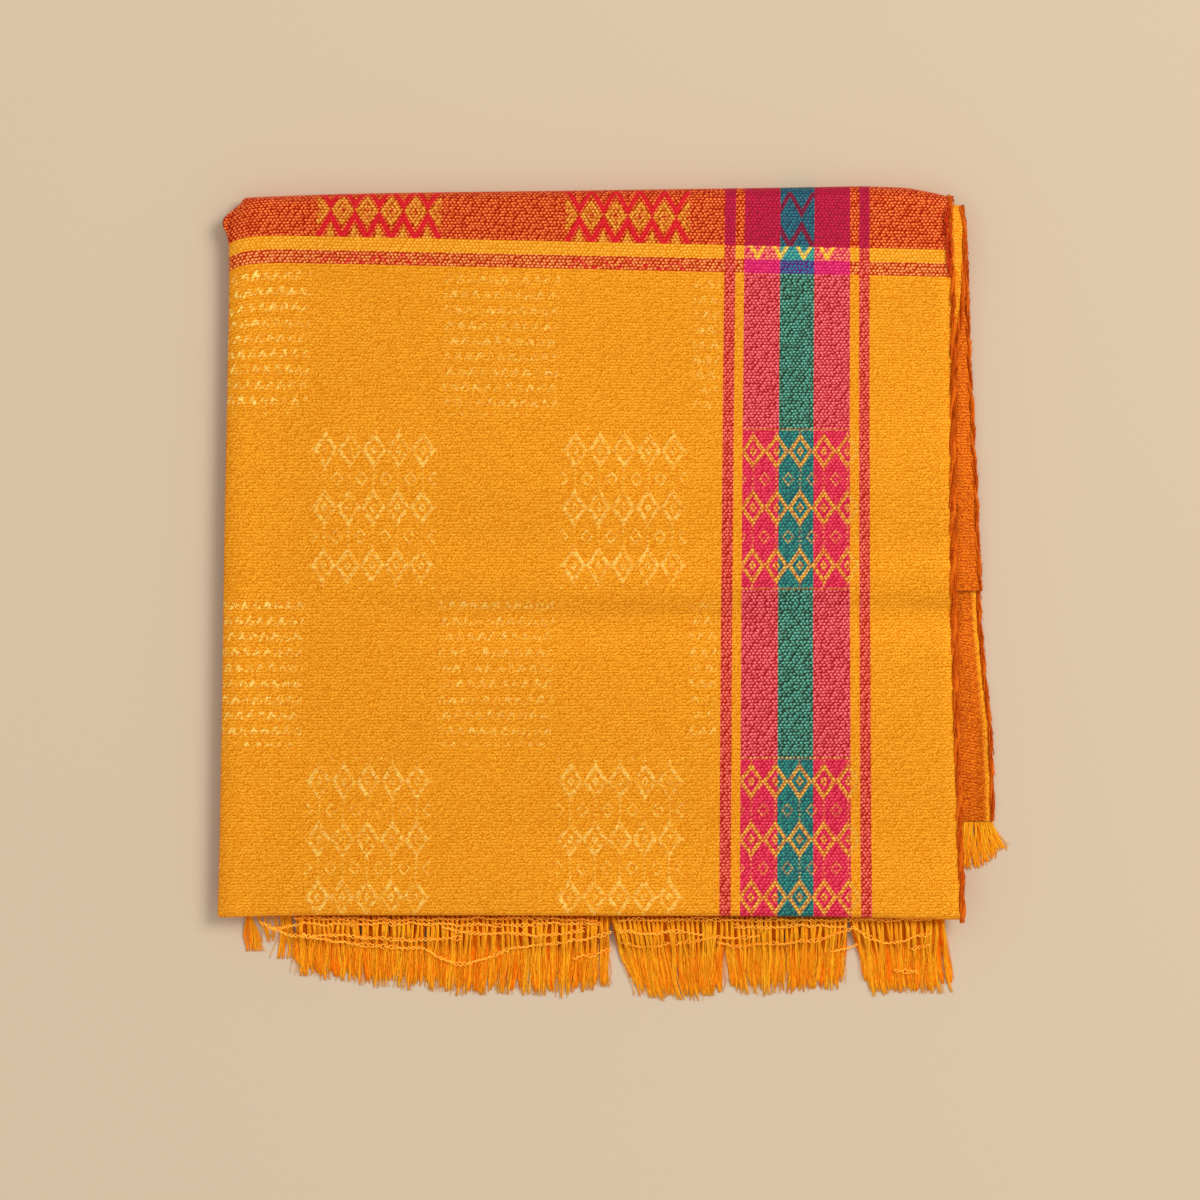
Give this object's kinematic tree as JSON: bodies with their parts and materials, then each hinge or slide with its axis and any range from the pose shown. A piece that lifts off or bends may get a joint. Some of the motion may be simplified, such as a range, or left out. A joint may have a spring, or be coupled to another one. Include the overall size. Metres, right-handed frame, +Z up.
{
  "type": "folded dupatta stole",
  "caption": "Woven golden-orange silk-look stole with red pallu bands, pink and teal border stripes and thread fringes, folded into a flat square packet.",
  "frame": {"origin": "on the table under the middle of the packet's box, fringes included", "axes": "+Z up from the table, +Y towards the pallu fold, +X towards the selvedges"},
  "size_m": [0.3712, 0.384, 0.0131],
  "materials": {
    "cloth": "jacquard-woven art silk, golden orange, soft sheen",
    "hidden_cloth": "the same cloth, folded inside, in shade",
    "selvedge": "rust-orange twisted selvedge yarn, matt",
    "fringe": "loose golden warp threads, slightly glossy"
  },
  "bodies": {
    "root": {"top_panel": "cloth", "end_panel": "cloth", "inner_end_panel": "cloth", "inner_half_panel": "cloth", "hidden_layers": "hidden_cloth", "selvedge_top": "selvedge", "selvedge_end": "selvedge", "selvedge_inner_end": "selvedge", "selvedge_inner_half": "selvedge", "selvedge_hidden_lower": "selvedge", "selvedge_hidden_middle": "selvedge", "selvedge_hidden_upper": "selvedge", "fringe_end": "fringe", "fringe_inner_end": "fringe"}
  },
  "joints": []
}
